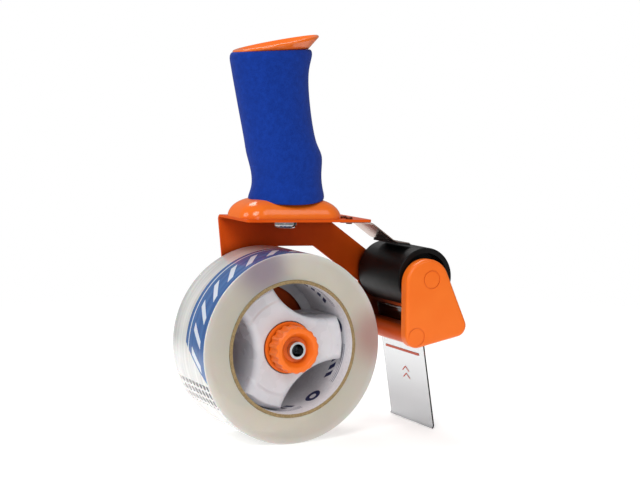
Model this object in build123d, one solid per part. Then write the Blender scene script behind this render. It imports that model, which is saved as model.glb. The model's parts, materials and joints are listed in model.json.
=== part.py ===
# Hand-held tape gun with a pistol grip, loaded with one roll of clear tape.
# Millimetres. Everything is drawn in the gun's own frame first: the reel axis runs along Y through
# the origin, X points forward to the roller, Z points up and the top flange is level.
# At the end the gun is pitched nose-down until it stands on the roll and the wiper.
from build123d import *
import math
import os

# Tape roll
TAPE_WIDTH = 48.0
ROLL_R = 55.7
CORE_BORE_R = 38.1
CORE_WALL = 3.0
ROLL_EDGE = 0.5

# Stance
PITCH = 2.3

# Clearances
RUN_CLEAR = 0.05
FACE_CLEAR = 0.1
HOLE_CLEAR = 0.2
BEND_GAP = 0.3
FOAM_CLEAR = 0.15
CORE_CLEAR = 0.6

# Cutters and heads: how long a tool is that goes through sheet, and how far a head is rounded
CUT_LENGTH = 6.0
HEAD_ROUNDING = 0.45

# Side frame
SHEET = 1.5
PLATE_GAP = 3.0
BEND_R = 3.0
FLANGE_TOP = 74.0
FLANGE_BACK_X = -27.4
FLANGE_FRONT_X = 53.1
FLANGE_NEAR_Y = -15.3
FLANGE_CORNER_R = 2.0
BAND_LOW = 54.6
LEG_LEAN = 7.4
LEG_FRONT_X = 5.0
LEG_FOOT_X = 15.0
LOBE_R = 36.0
LEG_FILLET = 6.0
ARM_BEND_X = 35.8
ARM_TOP_X = 45.0
ARM_SLOPE = 34.5

# Roller and what carries it
ROLLER_X = 84.6
ROLLER_Z = 39.9
ROLLER_R = 18.2
ROLLER_WALL = 3.2
ROLLER_LENGTH = 51.0
ROLLER_SHIFT = -0.5
ROLLER_EDGE = 0.6
BUSH_WIDTH = 6.0
BUSH_DEPTH = 8.0
AXLE_R = 4.0
SPACER_R = 6.5
AXLE_NUT_FLATS = 13.0
AXLE_NUT_WIDTH = 5.0

# Guard
GUARD_NEAR_Y = -34.0
GUARD_WIDTH = 6.8
GUARD_SKIN = 2.8
GUARD_WALL = 2.4
GUARD_ROUND = 2.0
GUARD_TOP = (82.6, 37.3, 14.6)
GUARD_HEEL = (76.8, 6.8, 7.8)
GUARD_TOE = (103.8, 11.4, 6.5)
GUARD_BOSS_WALL = 2.6
GUARD_BLIND = 2.6
MARK_R = 5.0
MARK_WIDTH = 0.6
MARK_DEPTH = 0.3

# Clamp bar, tie rod, wiper
ROD_X = 75.6
ROD_Z = 5.8
ROD_R = 3.0
ROD_NUT_FLATS = 10.0
ROD_NUT_WIDTH = 5.0
BAR_R = 5.3
WIPER_TOP_X = 81.7
WIPER_TOP_Z = 19.9
WIPER_LEAN = 10.7
WIPER_THICK = 1.0
WIPER_WIDTH = 52.0
WIPER_SHIFT = 0.0
CLAMP_SCREW_Y = 14.0
CLAMP_SCREW_Z = 7.6
CLAMP_SCREW_R = 1.5
CLAMP_SCREW_BITE = 3.6
SCREW_HEAD_R = 2.8
SCREW_HEAD = 1.8

# Blade and its carrier
CARRIER_TOP = 19.2
CARRIER_TIP_X = 101.0
CARRIER_SIDE = 0.6
SOLE_INSET = 1.2
BLADE_THICK = 0.8
BLADE_LENGTH = 17.0
BLADE_REACH = 6.0
BLADE_TEETH = 20
TOOTH_DEPTH = 2.2
BLADE_RIVET_Y = 15.0
BLADE_RIVET_R = 1.5
RIVET_HEAD_R = 2.6
RIVET_HEAD = 0.7

# Tape leaf
LEAF_THICK = 0.5
LEAF_WIDTH = 30.0
LEAF_MID_Y = 1.0
LEAF_SLOPE = 34.5
LEAF_KNEE_X = 70.2
LEAF_TIP_X = 80.6
PAD_THICK = 1.2
PAD_LENGTH = 9.0
PAD_CLEAR = 0.5
TOP_RIVET_STAND_OFF = 0.5
TOP_RIVET_TO_LEAF_END = 6.0
TOP_RIVETS = 4
TOP_RIVET_SPACING = 7.6
TOP_RIVET_R = 1.2
TOP_RIVET_HEAD_R = 2.0
TOP_RIVET_HEAD = 1.4
TOP_RIVET_TAIL_R = 1.8
TOP_RIVET_TAIL = 0.8

# Reel: hub, spindle, tension
SPINDLE_R = 5.0
SPINDLE_BORE_R = 3.7
SPINDLE_BORE_DEPTH = 30.0
SPINDLE_TAIL = 6.0
COLLAR_R = 8.0
COLLAR_WIDTH = 1.2
SPINDLE_NUT_FLATS = 17.0
SPINDLE_NUT_WIDTH = 5.0
FRICTION_R = 16.0
HUB_NEAR_Y = -17.0
HUB_WAIST_R = 20.5
HUB_ARMS = 3
HUB_ARM_HALF = 20.0
HUB_TURN = 6.3
HUB_SKIN = 4.0
HUB_WALL = 2.2
HUB_SIDE_ROUND = 4.6
HUB_TIP_ROUND = 1.0
HUB_LEAD = 2.6
HUB_LEAD_LENGTH = 6.0
RIM_WIDTH = 1.3
RIM_OUT = 4.4
RIM_IN = 5.0
SPRING_BORE_R = 9.0
SPRING_R = 7.4
SPRING_WIRE = 1.4
SPRING_TURNS = 6
SPRING_LENGTH = 19.0
SPRING_SEAT = 1.2
CUP_R = 15.0
CUP_WIDTH = 2.2
CUP_SPIGOT = 3.0
CUP_SPIGOT_WALL = 0.9
CUP_PROUD = 1.6
COUNTERBORE_DEPTH = 6.0
COUNTERBORE_CLEAR = 0.6
KNOB_R = 13.6
KNOB_LENGTH = 11.8
KNOB_SCALLOPS = 18
SCALLOP_R = 2.0
SCALLOP_DEPTH = 0.8
KNOB_NECK_R = 11.6
KNOB_NECK = 1.0
KNOB_DISH_R = 10.2
KNOB_DISH = 4.5
KNOB_DISH_TAPER = 34.0
KNOB_EDGE = 1.2
KNOB_LIP_ROUND = 1.4
STUD_INSET = 0.8

# Handle and foam, with heights counted from the top of the flange
HANDLE_Y = 5.2
BASE_X = 5.2
BASE_LENGTH = 65.0
BASE_WIDTH = 37.6
BASE_HEIGHT = 11.0
BASE_CORNER_R = 12.0
BASE_CROWN = 11.4
BASE_END_SHOULDER = 17.0
BASE_SIDE_SHOULDER = 10.4
BASE_STEPS = 6
BASE_HOLLOW = 4.0
HANDLE_WALL = 3.0
FOAM_THICK = 3.5
GRIP_OVAL = 0.85
FOAM_SEAT = 0.5
FOAM_HEIGHT = 95.0
FOAM_TOP_RISE = 4.6
GRIP_ABOVE_FOAM = 7.0
CAP_FOOT_IN = 2.2
RIM_X = -3.4
RIM_LIP = 1.0
RIM_TILT = 13.0
RIM_HALF = 27.0
RIM_DISH_WALL = 3.0
RIM_DISH = 3.0
RIM_DISH_SLOPE = 4.0
RIM_ROUND = 0.9
BOLT_X = 5.5
BOLT_R = 3.0
BOLT_HEAD_R = 7.2
BOLT_HEAD = 4.8
BOSS_R = 7.5
BOSS_HEIGHT = 18.0
HANDLE_NUT_FLATS = 10.0
HANDLE_NUT = 5.0
BOLT_END = 2.0

# Grip sections from the foot up: height above the flange, middle in X, half length in X.
# The back runs straight and the front swells where the fingers close.
GRIP_SECTIONS = (
    (10.0, 6.1, 22.6),
    (17.0, 6.6, 21.2),
    (24.0, 5.6, 21.2),
    (34.0, 4.5, 22.6),
    (40.0, 3.1, 22.8),
    (47.0, 0.7, 22.0),
    (59.0, -2.4, 21.8),
    (82.0, -6.1, 22.8),
    (FOAM_HEIGHT + GRIP_ABOVE_FOAM, -7.4, 24.8),
)

# Worked out from the sizes above
CORE_R = CORE_BORE_R + CORE_WALL
HALF_TAPE = TAPE_WIDTH / 2
PLATE_IN = HALF_TAPE + PLATE_GAP
PLATE_OUT = PLATE_IN + SHEET
FLANGE_LOW = FLANGE_TOP - SHEET
GUARD_FAR_Y = GUARD_NEAR_Y + GUARD_WIDTH
HUB_R = CORE_BORE_R - CORE_CLEAR
COLLAR_Y = PLATE_IN - COLLAR_WIDTH
HUB_FAR_Y = COLLAR_Y - FACE_CLEAR
ROLLER_NEAR_Y = ROLLER_SHIFT - ROLLER_LENGTH / 2
ROLLER_FAR_Y = ROLLER_SHIFT + ROLLER_LENGTH / 2
CUP_NEAR_Y = HUB_NEAR_Y - CUP_PROUD
CUP_FAR_Y = CUP_NEAR_Y + CUP_WIDTH
SPRING_NEAR_Y = CUP_FAR_Y + FACE_CLEAR
SPRING_FAR_Y = SPRING_NEAR_Y + SPRING_LENGTH
SEAT_Y = SPRING_FAR_Y + SPRING_SEAT
KNOB_FAR_Y = CUP_NEAR_Y - FACE_CLEAR
KNOB_NEAR_Y = KNOB_FAR_Y - KNOB_LENGTH
STUD_NEAR_Y = KNOB_NEAR_Y + STUD_INSET
BAR_LOW = ROD_Z - BAR_R
TOP_RIVET_X = BASE_X + BASE_LENGTH / 2 + TOP_RIVET_STAND_OFF + TOP_RIVET_HEAD_R
LEAF_BACK_X = TOP_RIVET_X - TOP_RIVET_TO_LEAF_END
LEAF_MID_Z = FLANGE_LOW - LEAF_THICK / 2
LEAF_BEND_X = FLANGE_FRONT_X + BEND_GAP
BAR_NEAR_Y = GUARD_FAR_Y + FACE_CLEAR
BAR_FAR_Y = PLATE_IN - FACE_CLEAR
FOAM_LOW = FLANGE_TOP + BASE_HEIGHT + FOAM_SEAT
FOAM_TOP_BACK = FLANGE_TOP + FOAM_HEIGHT
RIM_Z = FOAM_TOP_BACK + RIM_LIP + RIM_HALF * math.sin(math.radians(RIM_TILT))
GRIP_LOW = FLANGE_TOP + GRIP_SECTIONS[0][0]
GRIP_HIGH = FLANGE_TOP + GRIP_SECTIONS[-1][0]
BOSS_TOP = FLANGE_TOP + BOSS_HEIGHT


def along_y(sketch, near_y, far_y):
    """A flat shape drawn in X and Z, given a width from near_y to far_y."""
    return Pos(0, far_y, 0) * extrude(Plane.XZ * sketch, far_y - near_y)


def rod(x, z, radius, near_y, far_y):
    return along_y(Pos(x, z) * Circle(radius), near_y, far_y)


def sleeve(x, z, inner, outer, near_y, far_y):
    return along_y(Pos(x, z) * (Circle(outer) - Circle(inner)), near_y, far_y)


def hexagon(flats):
    return RegularPolygon(flats / math.sqrt(3), 6)


def hex_nut(x, z, flats, bore, near_y, far_y):
    return along_y(Pos(x, z) * (hexagon(flats) - Circle(bore)), near_y, far_y)


def tangent_normal(first, second):
    """Outward unit normal of the line that touches two circles, on the right of the way between them."""
    run_x = second[0] - first[0]
    run_z = second[1] - first[1]
    length = math.hypot(run_x, run_z)
    turn = math.acos((first[2] - second[2]) / length)
    heading = math.atan2(run_z, run_x) - turn
    return math.cos(heading), math.sin(heading)


def around(circles, inset=0.0):
    """A flat shape stretched round circles that are named anticlockwise, each given as X, Z and radius."""
    count = len(circles)
    normals = [tangent_normal(circles[i], circles[(i + 1) % count]) for i in range(count)]
    edges = []
    for i, (x, z, radius) in enumerate(circles):
        arrive = normals[i - 1]
        leave = normals[i]
        middle = (arrive[0] + leave[0], arrive[1] + leave[1])
        size = math.hypot(*middle)
        reach = radius - inset
        start = (x + reach * arrive[0], z + reach * arrive[1])
        crown = (x + reach * middle[0] / size, z + reach * middle[1] / size)
        end = (x + reach * leave[0], z + reach * leave[1])
        following = circles[(i + 1) % count]
        next_reach = following[2] - inset
        touch = (following[0] + next_reach * leave[0], following[1] + next_reach * leave[1])
        edges.append(ThreePointArc(start, crown, end))
        edges.append(Line(end, touch))
    return make_face(edges)


def strip(start, end, below, above):
    """A straight band from start to end, reaching below and above its line."""
    run_x = end[0] - start[0]
    run_z = end[1] - start[1]
    length = math.hypot(run_x, run_z)
    side = (-run_z / length, run_x / length)
    points = [
        (start[0] - below * side[0], start[1] - below * side[1]),
        (end[0] - below * side[0], end[1] - below * side[1]),
        (end[0] + above * side[0], end[1] + above * side[1]),
        (start[0] + above * side[0], start[1] + above * side[1]),
    ]
    return Polygon(*points, align=None)


def headed(head_r, head, shank_r, length):
    """A pan-headed fastener that points down, with the underside of its head at height 0."""
    cap = Pos(0, 0, head / 2) * Cylinder(head_r, head)
    cap = fillet(cap.edges().group_by(Axis.Z)[-1], head * HEAD_ROUNDING)
    return cap + Pos(0, 0, -length / 2) * Cylinder(shank_r, length)


def side_frame():
    slope = math.tan(math.radians(ARM_SLOPE))
    lean = math.tan(math.radians(LEG_LEAN))
    bend_low = FLANGE_TOP - BEND_R
    arm_end_x = ROLLER_X - ROLLER_R / 2
    band = Polygon(
        (FLANGE_BACK_X, bend_low),
        (FLANGE_BACK_X + (bend_low - BAND_LOW) * lean, BAND_LOW),
        (ARM_BEND_X, BAND_LOW),
        (arm_end_x, BAND_LOW - (arm_end_x - ARM_BEND_X) * slope),
        (ROLLER_X, ROLLER_Z),
        (arm_end_x, bend_low - (arm_end_x - ARM_TOP_X) * slope),
        (ARM_TOP_X, bend_low),
        align=None,
    )
    leg_foot_z = LOBE_R / 2
    leg = Polygon(
        (FLANGE_BACK_X + (bend_low - BAND_LOW) * lean, BAND_LOW),
        (FLANGE_BACK_X + (bend_low - leg_foot_z) * lean, leg_foot_z),
        (LEG_FOOT_X, leg_foot_z),
        (LEG_FRONT_X, BAND_LOW),
        align=None,
    )
    outline = band + leg + Circle(LOBE_R) + around((GUARD_TOP, GUARD_HEEL, GUARD_TOE))
    inner = outline.vertices().sort_by_distance((LEG_FRONT_X, BAND_LOW))[0]
    outline = fillet(inner, LEG_FILLET)
    outline -= Circle(SPINDLE_R + HOLE_CLEAR)
    outline -= Pos(ROLLER_X, ROLLER_Z) * Circle(AXLE_R + HOLE_CLEAR)
    outline -= Pos(ROD_X, ROD_Z) * Circle(ROD_R + HOLE_CLEAR)
    plate = along_y(outline, PLATE_IN, PLATE_OUT)

    # Flange and bend: an angle section drawn in Y and Z, run along X.
    section = Polygon(
        (FLANGE_NEAR_Y, FLANGE_LOW),
        (PLATE_IN, FLANGE_LOW),
        (PLATE_IN, bend_low),
        (PLATE_OUT, bend_low),
        (PLATE_OUT, FLANGE_TOP),
        (FLANGE_NEAR_Y, FLANGE_TOP),
        align=None,
    )
    outside = section.vertices().sort_by_distance((PLATE_OUT, FLANGE_TOP))[0]
    section = fillet(outside, BEND_R)
    inside = section.vertices().sort_by_distance((PLATE_IN, FLANGE_LOW))[0]
    section = fillet(inside, BEND_R - SHEET)
    flange = extrude(Plane.YZ * section, FLANGE_FRONT_X - FLANGE_BACK_X)
    flange = Pos(FLANGE_BACK_X, 0, 0) * flange
    corners = flange.edges().filter_by(Axis.Z).group_by(Axis.Y)[0]
    flange = fillet(corners, FLANGE_CORNER_R)
    flange -= Pos(BOLT_X, HANDLE_Y, FLANGE_TOP) * Cylinder(BOLT_R + HOLE_CLEAR, CUT_LENGTH)
    for y in top_rivet_rows():
        flange -= Pos(TOP_RIVET_X, y, FLANGE_TOP) * Cylinder(TOP_RIVET_R + RUN_CLEAR, CUT_LENGTH)
    return plate + flange


def top_rivet_rows():
    first = LEAF_MID_Y - TOP_RIVET_SPACING * (TOP_RIVETS - 1) / 2
    return [first + i * TOP_RIVET_SPACING for i in range(TOP_RIVETS)]


def oval(half, inset):
    """The grip's cross-section, named by its half length along X and set in all round."""
    return Ellipse(half - inset, half * GRIP_OVAL - inset)


def grip_column(inset, low, high):
    """The grip's swelling oval column, set in from the foam's outside and cut between two heights."""
    sections = []
    for height, middle, half in GRIP_SECTIONS:
        sections.append(Pos(middle, HANDLE_Y, FLANGE_TOP + height) * oval(half, inset))
    column = loft(sections, ruled=True)
    reach = 4 * GRIP_SECTIONS[-1][2]
    keep = Pos(0, HANDLE_Y, (low + high) / 2) * Box(reach, reach, high - low)
    return column & keep


def foam_top_plane(lift):
    """The slanted plane where the foam ends, which rises to the front."""
    back_x = GRIP_SECTIONS[-1][1] - GRIP_SECTIONS[-1][2]
    rise = math.radians(FOAM_TOP_RISE)
    normal = (-math.sin(rise), 0, math.cos(rise))
    return Plane(origin=(back_x, HANDLE_Y, FOAM_TOP_BACK + lift), x_dir=(math.cos(rise), 0, math.sin(rise)),
                 z_dir=normal)


def base_section(height):
    """The base's outline at a height: its oval shoulders draw in further at the ends than at the sides."""
    drawn = 1 - math.sqrt(1 - (height / BASE_CROWN) ** 2)
    length = BASE_LENGTH - 2 * BASE_END_SHOULDER * drawn
    width = BASE_WIDTH - 2 * BASE_SIDE_SHOULDER * drawn
    corner = BASE_CORNER_R * width / BASE_WIDTH
    return Pos(BASE_X, HANDLE_Y, height) * RectangleRounded(length, width, corner)


def handle():
    foot = base_section(0)
    levels = [BASE_HEIGHT * math.sin(math.pi / 2 * i / BASE_STEPS) for i in range(BASE_STEPS + 1)]
    base = Pos(0, 0, FLANGE_TOP) * loft([base_section(level) for level in levels])
    inset = FOAM_THICK + FOAM_CLEAR
    column = split(grip_column(inset, GRIP_LOW, GRIP_HIGH), foam_top_plane(0), keep=Keep.BOTTOM)

    # Slanted cap: it spreads from a foot over the foam's end, on the foam's top plane, to the dished rim.
    seat = foam_top_plane(0)
    column_half = GRIP_SECTIONS[-1][2]
    column_mid = column_half / math.cos(math.radians(FOAM_TOP_RISE))
    tilt = math.radians(RIM_TILT)
    rim_middle = (RIM_X, HANDLE_Y, RIM_Z)
    rim_plane = Plane(origin=rim_middle, x_dir=(math.cos(tilt), 0, math.sin(tilt)),
                      z_dir=(-math.sin(tilt), 0, math.cos(tilt)))
    cap = loft([seat * Pos(column_mid, 0) * oval(column_half, CAP_FOOT_IN), rim_plane * oval(RIM_HALF, 0)])
    rim_edge = cap.edges().sort_by(Axis((0, 0, 0), tuple(rim_plane.z_dir)))[-1]
    cap = fillet(rim_edge, RIM_ROUND)
    mouth = oval(RIM_HALF, RIM_DISH_WALL)
    floor = oval(RIM_HALF, RIM_DISH_WALL + RIM_DISH_SLOPE)
    dish = loft([rim_plane * mouth, rim_plane.offset(-RIM_DISH) * floor])

    # Hollow inside, open underneath, with a boss for the bolt.
    hollow_high = FOAM_TOP_BACK - 2 * HANDLE_WALL
    hollow = grip_column(inset + HANDLE_WALL, GRIP_LOW, hollow_high)
    under = offset(foot, -HANDLE_WALL)
    hollow += Pos(0, 0, FLANGE_TOP) * extrude(under, BASE_HOLLOW)
    waist_high = GRIP_LOW - FLANGE_TOP + HANDLE_WALL
    waist = oval(GRIP_SECTIONS[0][2], inset + HANDLE_WALL)
    hollow += Pos(GRIP_SECTIONS[0][1], HANDLE_Y, FLANGE_TOP) * extrude(waist, waist_high)
    bolt_hole = Circle(BOLT_R + HOLE_CLEAR)
    boss = Pos(BOLT_X, HANDLE_Y, FLANGE_TOP) * extrude(Circle(BOSS_R) - bolt_hole, BOSS_HEIGHT)
    body = base + column + cap - dish - hollow
    body -= Pos(BOLT_X, HANDLE_Y, FLANGE_TOP) * extrude(bolt_hole, BOSS_HEIGHT)
    # Crossed ribs tie the boss to the walls of the foot.
    rib = Pos(BASE_X, HANDLE_Y) * Rectangle(BASE_LENGTH - HANDLE_WALL, HANDLE_WALL / 2)
    rib += Pos(BASE_X, HANDLE_Y) * Rectangle(HANDLE_WALL / 2, BASE_WIDTH - HANDLE_WALL)
    rib -= Pos(BOLT_X, HANDLE_Y) * Circle(BOSS_R - HANDLE_WALL / 2)
    return body + boss + Pos(0, 0, FLANGE_TOP) * extrude(rib, BASE_HOLLOW)


def foam_grip():
    outer = grip_column(0, FOAM_LOW, GRIP_HIGH)
    inner = grip_column(FOAM_THICK, FOAM_LOW, GRIP_HIGH)
    return split(outer - inner, foam_top_plane(-FACE_CLEAR), keep=Keep.BOTTOM)


def handle_bolt():
    length = BOSS_TOP - FLANGE_LOW + HANDLE_NUT + BOLT_END
    bolt = headed(BOLT_HEAD_R, BOLT_HEAD, BOLT_R, length)
    return Pos(BOLT_X, HANDLE_Y, FLANGE_LOW) * Rot(180, 0, 0) * bolt


def handle_nut():
    nut = extrude(hexagon(HANDLE_NUT_FLATS) - Circle(BOLT_R), HANDLE_NUT)
    return Pos(BOLT_X, HANDLE_Y, BOSS_TOP) * nut


def leaf_points():
    """Middle line of the leaf: where it leaves the flange, its knee and its tip above the roller."""
    bend = (LEAF_BEND_X, LEAF_MID_Z)
    knee = (LEAF_KNEE_X, LEAF_MID_Z - (LEAF_KNEE_X - LEAF_BEND_X) * math.tan(math.radians(LEAF_SLOPE)))
    across = LEAF_TIP_X - ROLLER_X
    rise = PAD_CLEAR + PAD_THICK + LEAF_THICK / 2
    tip = (LEAF_TIP_X, ROLLER_Z + math.sqrt((ROLLER_R + rise) ** 2 - across ** 2))
    return bend, knee, tip


def leaf_span():
    return LEAF_MID_Y - LEAF_WIDTH / 2, LEAF_MID_Y + LEAF_WIDTH / 2


def leaf_root():
    half = LEAF_THICK / 2
    profile = strip((LEAF_BACK_X, LEAF_MID_Z), (FLANGE_FRONT_X, LEAF_MID_Z), half, half)
    flat = along_y(profile, *leaf_span())
    for y in top_rivet_rows():
        flat -= Pos(TOP_RIVET_X, y, LEAF_MID_Z) * Cylinder(TOP_RIVET_R + RUN_CLEAR, CUT_LENGTH)
    return flat


def tape_leaf():
    bend, knee, tip = leaf_points()
    half = LEAF_THICK / 2
    profile = strip(bend, knee, half, half) + strip(knee, tip, half, half) + Pos(*knee) * Circle(half)
    return along_y(profile, *leaf_span())


def leaf_pad():
    knee, tip = leaf_points()[1:]
    length = math.dist(knee, tip)
    back = PAD_LENGTH / length
    start = (tip[0] + (knee[0] - tip[0]) * back, tip[1] + (knee[1] - tip[1]) * back)
    half = LEAF_THICK / 2
    return along_y(strip(start, tip, half + PAD_THICK, -half), *leaf_span())


def leaf_rivets():
    grip = SHEET + LEAF_THICK
    rivet = headed(TOP_RIVET_HEAD_R, TOP_RIVET_HEAD, TOP_RIVET_R, grip)
    rivet += Pos(0, 0, -grip - TOP_RIVET_TAIL / 2) * Cylinder(TOP_RIVET_TAIL_R, TOP_RIVET_TAIL)
    return [Pos(TOP_RIVET_X, y, FLANGE_TOP) * rivet for y in top_rivet_rows()]


def outer_guard():
    circles = (GUARD_TOP, GUARD_HEEL, GUARD_TOE)
    cheek = along_y(around(circles), GUARD_NEAR_Y, GUARD_FAR_Y)
    cheek = fillet(cheek.edges().group_by(Axis.Y)[0], GUARD_ROUND)
    cheek -= along_y(around(circles, GUARD_WALL), GUARD_NEAR_Y + GUARD_SKIN, GUARD_FAR_Y)
    bosses = Pos(ROLLER_X, ROLLER_Z) * Circle(AXLE_R + GUARD_BOSS_WALL)
    bosses += Pos(ROD_X, ROD_Z) * Circle(ROD_R + GUARD_BOSS_WALL)
    cheek += along_y(bosses, GUARD_NEAR_Y + GUARD_SKIN, GUARD_FAR_Y)
    blind_y = GUARD_NEAR_Y + GUARD_BLIND
    cheek -= rod(ROLLER_X, ROLLER_Z, AXLE_R + RUN_CLEAR, blind_y, GUARD_FAR_Y)
    cheek -= rod(ROD_X, ROD_Z, ROD_R + RUN_CLEAR, blind_y, GUARD_FAR_Y)
    for x, z in ((ROLLER_X, ROLLER_Z), (ROD_X, ROD_Z)):
        cheek -= sleeve(x, z, MARK_R, MARK_R + MARK_WIDTH, GUARD_NEAR_Y, GUARD_NEAR_Y + MARK_DEPTH)
    return cheek


def roller():
    tube = sleeve(ROLLER_X, ROLLER_Z, ROLLER_R - ROLLER_WALL, ROLLER_R, ROLLER_NEAR_Y, ROLLER_FAR_Y)
    ends = tube.edges().filter_by(GeomType.CIRCLE).sort_by(SortBy.RADIUS)[-2:]
    return fillet(ends, ROLLER_EDGE)


def bush_spans():
    near = ROLLER_NEAR_Y + BUSH_DEPTH
    far = ROLLER_FAR_Y - BUSH_DEPTH
    return (near, near + BUSH_WIDTH), (far - BUSH_WIDTH, far)


def roller_bushes():
    inside = ROLLER_R - ROLLER_WALL
    return [sleeve(ROLLER_X, ROLLER_Z, AXLE_R + RUN_CLEAR, inside, *span) for span in bush_spans()]


def roller_axle():
    end = PLATE_OUT + AXLE_NUT_WIDTH + FACE_CLEAR
    return rod(ROLLER_X, ROLLER_Z, AXLE_R, GUARD_NEAR_Y + GUARD_BLIND + FACE_CLEAR, end)


def axle_spacers():
    near, far = bush_spans()
    spans = ((GUARD_FAR_Y, near[0] - FACE_CLEAR), (far[1] + FACE_CLEAR, PLATE_IN))
    return [sleeve(ROLLER_X, ROLLER_Z, AXLE_R + RUN_CLEAR, SPACER_R, *span) for span in spans]


def axle_nut():
    return hex_nut(ROLLER_X, ROLLER_Z, AXLE_NUT_FLATS, AXLE_R, PLATE_OUT, PLATE_OUT + AXLE_NUT_WIDTH)


def tie_rod():
    end = PLATE_OUT + ROD_NUT_WIDTH + FACE_CLEAR
    return rod(ROD_X, ROD_Z, ROD_R, GUARD_NEAR_Y + GUARD_BLIND + FACE_CLEAR, end)


def tie_rod_nut():
    return hex_nut(ROD_X, ROD_Z, ROD_NUT_FLATS, ROD_R, PLATE_OUT, PLATE_OUT + ROD_NUT_WIDTH)


def wiper_x(z):
    """Where the middle of the clear sheet is at a height."""
    return WIPER_TOP_X + (WIPER_TOP_Z - z) * math.tan(math.radians(WIPER_LEAN))


def wiper_half():
    return WIPER_THICK / 2 / math.cos(math.radians(WIPER_LEAN))


def wiper_foot(side):
    """Where one face of the sheet, at side from its middle, meets the ground that the gun stands on."""
    lean = math.tan(math.radians(WIPER_LEAN))
    pitch = math.radians(PITCH)
    level = (WIPER_TOP_X + side + WIPER_TOP_Z * lean) * math.sin(pitch) - ROLL_R
    z = level / (lean * math.sin(pitch) + math.cos(pitch))
    return wiper_x(z) + side, z


def clamp_screw_planes():
    """The clamp screws' places on the sheet's middle, each pointing along the sheet's front normal."""
    lean = math.radians(WIPER_LEAN)
    normal = (math.cos(lean), 0, math.sin(lean))
    planes = []
    for y in (WIPER_SHIFT - CLAMP_SCREW_Y, WIPER_SHIFT + CLAMP_SCREW_Y):
        place = (wiper_x(CLAMP_SCREW_Z), y, CLAMP_SCREW_Z)
        planes.append(Plane(origin=place, x_dir=(0, 1, 0), z_dir=normal))
    return planes


def clamp_holes():
    depth = WIPER_THICK / 2 + CLAMP_SCREW_BITE
    hole = Pos(0, 0, (SHEET - depth) / 2) * Cylinder(CLAMP_SCREW_R + RUN_CLEAR, depth + SHEET + WIPER_THICK)
    return [plane * hole for plane in clamp_screw_planes()]


def wiper_span():
    return WIPER_SHIFT - WIPER_WIDTH / 2, WIPER_SHIFT + WIPER_WIDTH / 2


def wiper_root():
    half = wiper_half()
    sheet = Polygon(
        (wiper_x(WIPER_TOP_Z) - half, WIPER_TOP_Z),
        (wiper_x(BAR_LOW) - half, BAR_LOW),
        (wiper_x(BAR_LOW) + half, BAR_LOW),
        (wiper_x(WIPER_TOP_Z) + half, WIPER_TOP_Z),
        align=None,
    )
    return along_y(sheet, *wiper_span()) - clamp_holes()


def wiper():
    half = wiper_half()
    top = BAR_LOW - BEND_GAP
    sheet = Polygon(
        (wiper_x(top) - half, top),
        wiper_foot(-half),
        wiper_foot(half),
        (wiper_x(top) + half, top),
        align=None,
    )
    return along_y(sheet, *wiper_span())


def clamp_bar():
    half = wiper_half()
    top = ROD_Z + BAR_R
    block = Polygon(
        (ROD_X, BAR_LOW),
        (wiper_x(BAR_LOW) - half, BAR_LOW),
        (wiper_x(top) - half, top),
        (ROD_X, top),
        align=None,
    )
    section = block + Pos(ROD_X, ROD_Z) * Circle(BAR_R) - Pos(ROD_X, ROD_Z) * Circle(ROD_R + RUN_CLEAR)
    return along_y(section, BAR_NEAR_Y, BAR_FAR_Y) - clamp_holes()


def sole_line():
    """The guard's lower edge moved in, as a point and a direction, for the carrier's forward leg."""
    normal = tangent_normal(GUARD_HEEL, GUARD_TOE)
    reach = GUARD_HEEL[2] - SOLE_INSET
    point = (GUARD_HEEL[0] + reach * normal[0], GUARD_HEEL[1] + reach * normal[1])
    return point, (-normal[1], normal[0])


def sole_at(x, rise):
    """A point at x on the line a given rise above the carrier's underside."""
    point, way = sole_line()
    along = (x - point[0] + rise * way[1]) / way[0]
    return point[0] + along * way[0] - rise * way[1], point[1] + along * way[1] + rise * way[0]


def carrier_span():
    return GUARD_FAR_Y + CARRIER_SIDE, PLATE_IN - CARRIER_SIDE


def carrier_corner_x():
    return wiper_x(sole_at(ROD_X + BAR_R, SHEET)[1]) + wiper_half()


def blade_plane():
    """The upper face of the carrier's forward leg at its tip, with X to the front along the leg."""
    tip = sole_at(CARRIER_TIP_X, SHEET)
    way = sole_line()[1]
    place = (tip[0], WIPER_SHIFT, tip[1])
    return Plane(origin=place, x_dir=(way[0], 0, way[1]), z_dir=(-way[1], 0, way[0]))


def blade_rivet_places():
    along = BLADE_REACH / 2 - BLADE_LENGTH / 2
    return [(along, -BLADE_RIVET_Y), (along, BLADE_RIVET_Y)]


def blade_carrier():
    half = wiper_half()
    skew = SHEET / math.cos(math.radians(WIPER_LEAN))
    corner_x = carrier_corner_x()
    low = sole_at(corner_x, 0)[1]
    upright = Polygon(
        (wiper_x(low) + half, low),
        (wiper_x(low) + half + skew, low),
        (wiper_x(CARRIER_TOP) + half + skew, CARRIER_TOP),
        (wiper_x(CARRIER_TOP) + half, CARRIER_TOP),
        align=None,
    )
    leg = Polygon(
        sole_at(wiper_x(low) + half, 0),
        sole_at(CARRIER_TIP_X, 0),
        sole_at(CARRIER_TIP_X, SHEET),
        sole_at(wiper_x(low) + half + skew / 2, SHEET),
        align=None,
    )
    angle = along_y(upright + leg, *carrier_span()) - clamp_holes()
    for x, y in blade_rivet_places():
        angle -= blade_plane() * Pos(x, y, 0) * Cylinder(BLADE_RIVET_R + RUN_CLEAR, CUT_LENGTH)
    return angle


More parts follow.
